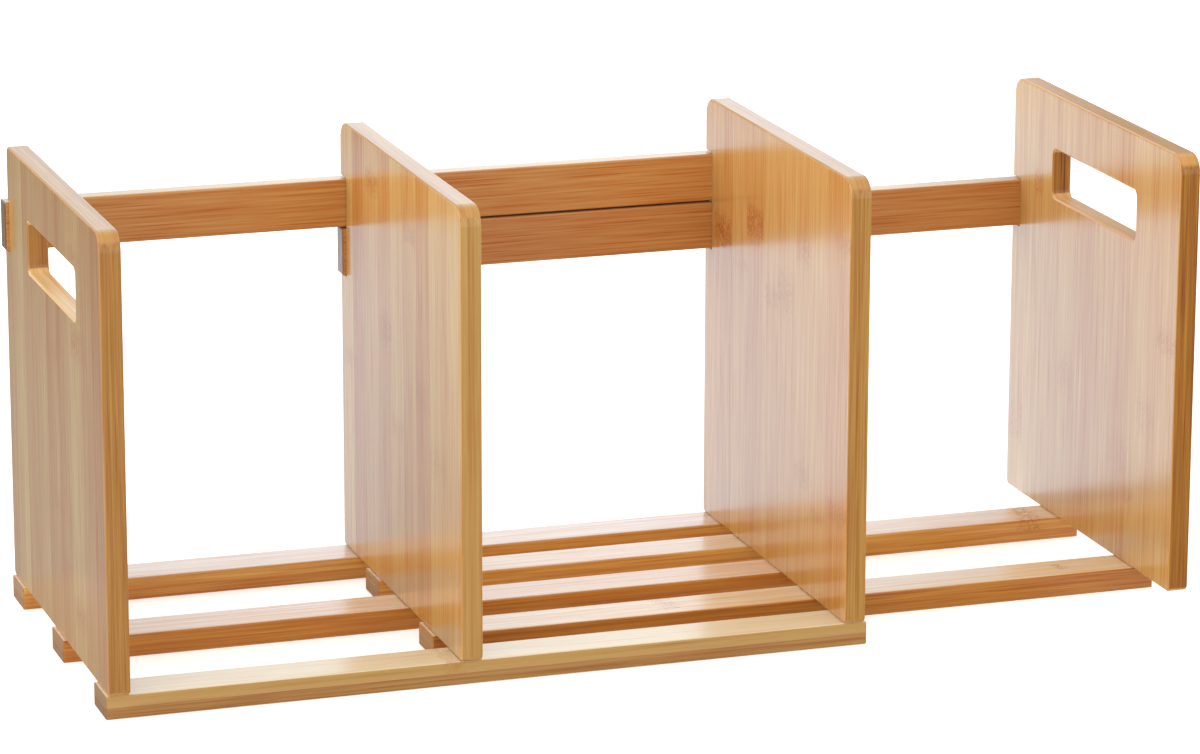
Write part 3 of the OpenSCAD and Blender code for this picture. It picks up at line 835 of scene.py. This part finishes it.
def make_screw_tree():
    """Countersunk wood screws at the points of a mesh, heads at the points, in metres."""
    g, given, gives = new_group(
        "wood_screw",
        [("Points", "Geometry", None), ("Length", "Float", SLAT_SCREW_LENGTH * MM),
         ("Smooth Part", "Float", SLAT_SCREW_LENGTH * SMOOTH_SHARE * MM),
         *[(label, "Float", size * MM) for label, size in SCREW_SIZES.items()],
         ("Sides", "Int", SCREW_SIDES), ("Turn", "Vector", None), ("Spin Axis", "Vector", (0, 0, 1)),
         ("Seed", "Int", FIRST_SEED), ("Steel", "Material", None)],
        [("Screws", "Geometry")], "GeometryNodeTree",
    )

    def by_index(values):
        """The value for each point along the screw's axis."""
        switch = g.geo("IndexSwitch", data_type="FLOAT")
        while len(switch.index_switch_items) < len(values):
            switch.index_switch_items.new()
        g.put(switch.inputs["Index"], g.geo("InputIndex").outputs[0])
        for k, value in enumerate(values):
            g.put(switch.inputs[str(k)], value)
        return switch.outputs[0]

    def own_place():
        return g.split(g.geo("InputPosition").outputs[0])

    # Head, shank, core and point: one outline turned round the axis
    length, head, shank = given["Length"], given["Head Radius"], given["Shank Radius"]
    core, point, smooth_part = given["Core Radius"], given["Point Length"], given["Smooth Part"]
    cone_end = g.plus(given["Head Rim"], g.minus(head, shank))
    heights = [0.0, given["Head Rim"], cone_end, smooth_part, g.plus(smooth_part, CORE_STEP * MM),
               g.minus(length, point), length]
    radii = [head, head, shank, shank, core, core, TIP_RADIUS * MM]
    line = g.geo("MeshLine", {"Count": len(heights)}, mode="OFFSET", count_mode="TOTAL").outputs[0]
    axis = g.geo("MeshToCurve", {"Mesh": line}).outputs[0]
    axis = g.geo("SetPosition", {"Geometry": axis, "Position": g.join(0, 0, by_index(heights))}).outputs[0]
    ring = g.geo("CurvePrimitiveCircle", {"Resolution": given["Sides"], "Radius": 1.0},
                 mode="RADIUS").outputs[0]
    body = g.geo("CurveToMesh", {
        "Curve": axis, "Profile Curve": ring, "Scale": by_index(radii), "Fill Caps": True,
    }).outputs[0]
    # Cross recess in the head. The two arms that cut it stand out of the head by as much as they go in
    tall = g.times(given["Recess Depth"], 2.0)
    arms = [g.geo("MeshCube", {"Size": size}).outputs[0]
            for size in (g.join(given["Recess Width"], given["Recess Arm"], tall),
                         g.join(given["Recess Arm"], given["Recess Width"], tall))]
    cross = g.geo("MeshBoolean", operation="UNION", solver="EXACT")
    for arm in arms:
        g.put(cross.inputs["Mesh 2"], arm)
    cut = g.geo("MeshBoolean", {"Mesh 1": body, "Mesh 2": cross.outputs["Mesh"]}, operation="DIFFERENCE",
                solver="EXACT")
    # Thread: a coil with a pointed section, which runs out at the shank and at the point
    coil_length = g.minus(length, smooth_part, THREAD_END * MM)
    coil = g.geo("CurveSpiral", {
        "Resolution": COIL_SIDES, "Rotations": g.math("DIVIDE", coil_length, given["Thread Pitch"]),
        "Start Radius": core, "End Radius": core, "Height": coil_length,
    }).outputs[0]
    x, y, z = own_place()
    height = g.plus(z, smooth_part)
    to_tip = g.math("DIVIDE", g.minus(length, height), point, clamp=True)
    coil = g.geo("SetPosition", {
        "Geometry": coil, "Position": g.join(g.times(x, to_tip), g.times(y, to_tip), height),
    }).outputs[0]
    run_in = g.step(g.minus(own_place()[2], smooth_part), 0.0, RUN_IN[0] * MM, RUN_IN[1], 1.0)
    run_out = g.step(g.minus(length, own_place()[2]), 0.0, RUN_OUT[0] * MM, RUN_OUT[1], 1.0)
    ridge = g.times(g.minus(given["Thread Radius"], core), g.times(run_in, run_out))
    coil = g.geo("SetCurveNormal", {"Curve": coil}, mode="Z_UP").outputs[0]
    diamond = g.geo("CurvePrimitiveCircle", {"Resolution": 4, "Radius": 1.0}, mode="RADIUS").outputs[0]
    thread = g.geo("CurveToMesh", {
        "Curve": coil, "Profile Curve": diamond, "Scale": ridge, "Fill Caps": True,
    }).outputs[0]
    both = g.geo("JoinGeometry")
    for part in (cut.outputs["Mesh"], thread):
        g.put(both.inputs["Geometry"], part)
    # Soft round the turned parts, sharp at the rim, the recess and the thread
    soft = g.geo("SetShadeSmooth", {"Geometry": both.outputs[0], "Shade Smooth": True},
                 domain="FACE").outputs[0]
    angle = g.geo("InputMeshEdgeAngle").outputs["Unsigned Angle"]
    sharp = g.make("FunctionNodeCompare", {0: angle, 1: SHARP_EDGE}, data_type="FLOAT",
                   operation="GREATER_THAN")
    screw = g.geo("SetShadeSmooth", {"Geometry": soft, "Selection": sharp.outputs[0], "Shade Smooth": False},
                  domain="EDGE").outputs[0]
    # No two recesses are turned alike
    chance = g.make("FunctionNodeRandomValue", {"Seed": given["Seed"]}, data_type="FLOAT")
    spin = g.times(next(out for out in chance.outputs if out.enabled), math.pi)
    rotation = g.vector("ADD", g.scale(given["Spin Axis"], spin), given["Turn"])
    placed = g.geo("InstanceOnPoints", {"Points": given["Points"], "Instance": screw,
                                        "Rotation": rotation}).outputs[0]
    real = g.geo("RealizeInstances", {"Geometry": placed}).outputs[0]
    g.put(gives["Screws"], g.geo("SetMaterial", {"Geometry": real, "Material": given["Steel"]}).outputs[0])
    return g.tree


def make_screws():
    """Four sets of screws, one for each CAD node that they stand for."""
    tree = make_screw_tree()
    steel = make_steel()
    labels = {item.name: item.identifier for item in tree.interface.items_tree if item.in_out == "INPUT"}
    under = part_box("front_slat")[0].z + HEAD_SINK * MM
    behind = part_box("left_frame_divider")[1].y - HEAD_SINK * MM

    def slat_places(boards, slats):
        return [(middle(board).x, middle(slat).y, under) for board in boards for slat in slats]

    def rail_places(boards, rail):
        return [(middle(board).x, behind, middle(rail).z) for board in boards]

    upright = (SLAT_SCREW_LENGTH, (0, 0, 0), (0, 0, 1))
    forward = (RAIL_SCREW_LENGTH, (math.pi / 2, 0, 0), (0, -1, 0))
    sets = {
        "left_slat_screws": ("left_frame", slat_places(LEFT_BOARDS, LEFT_SLATS), upright),
        "left_rail_screws": ("left_frame", rail_places(LEFT_BOARDS, "upper_back_rail"), forward),
        "right_slat_screws": ("right_frame", slat_places(RIGHT_BOARDS, RIGHT_SLATS), upright),
        "right_rail_screws": ("right_frame", rail_places(RIGHT_BOARDS, "lower_back_rail"), forward),
    }
    for seed, (node, (body, places, (length, turn, axis))) in enumerate(sets.items(), FIRST_SEED):
        points = bpy.data.meshes.new(node)
        points.from_pydata(places, [], [])
        screws = bpy.data.objects.new("steel_" + node, points)
        bpy.context.scene.collection.objects.link(screws)
        maker = screws.modifiers.new("wood_screw", "NODES")
        maker.node_group = tree
        sizes = {"Length": length, "Smooth Part": length * SMOOTH_SHARE, **SCREW_SIZES}
        for label, size in sizes.items():
            maker[labels[label]] = size * MM
        others = {"Sides": SCREW_SIDES, "Turn": turn, "Spin Axis": axis, "Seed": seed, "Steel": steel}
        for label, value in others.items():
            maker[labels[label]] = value
        ready = bpy.context.evaluated_depsgraph_get()
        plain = bpy.data.meshes.new_from_object(
            screws.evaluated_get(ready), preserve_all_data_layers=True, depsgraph=ready)
        screws.modifiers.clear()
        # Cutting the recess leaves an empty first slot
        plain.materials.pop(index=0)
        screws.data = plain
        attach(screws, body)
        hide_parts(node)


# ---- Camera, studio and pieces ----

make_camera()
make_studio()
dress_wood()
make_screws()
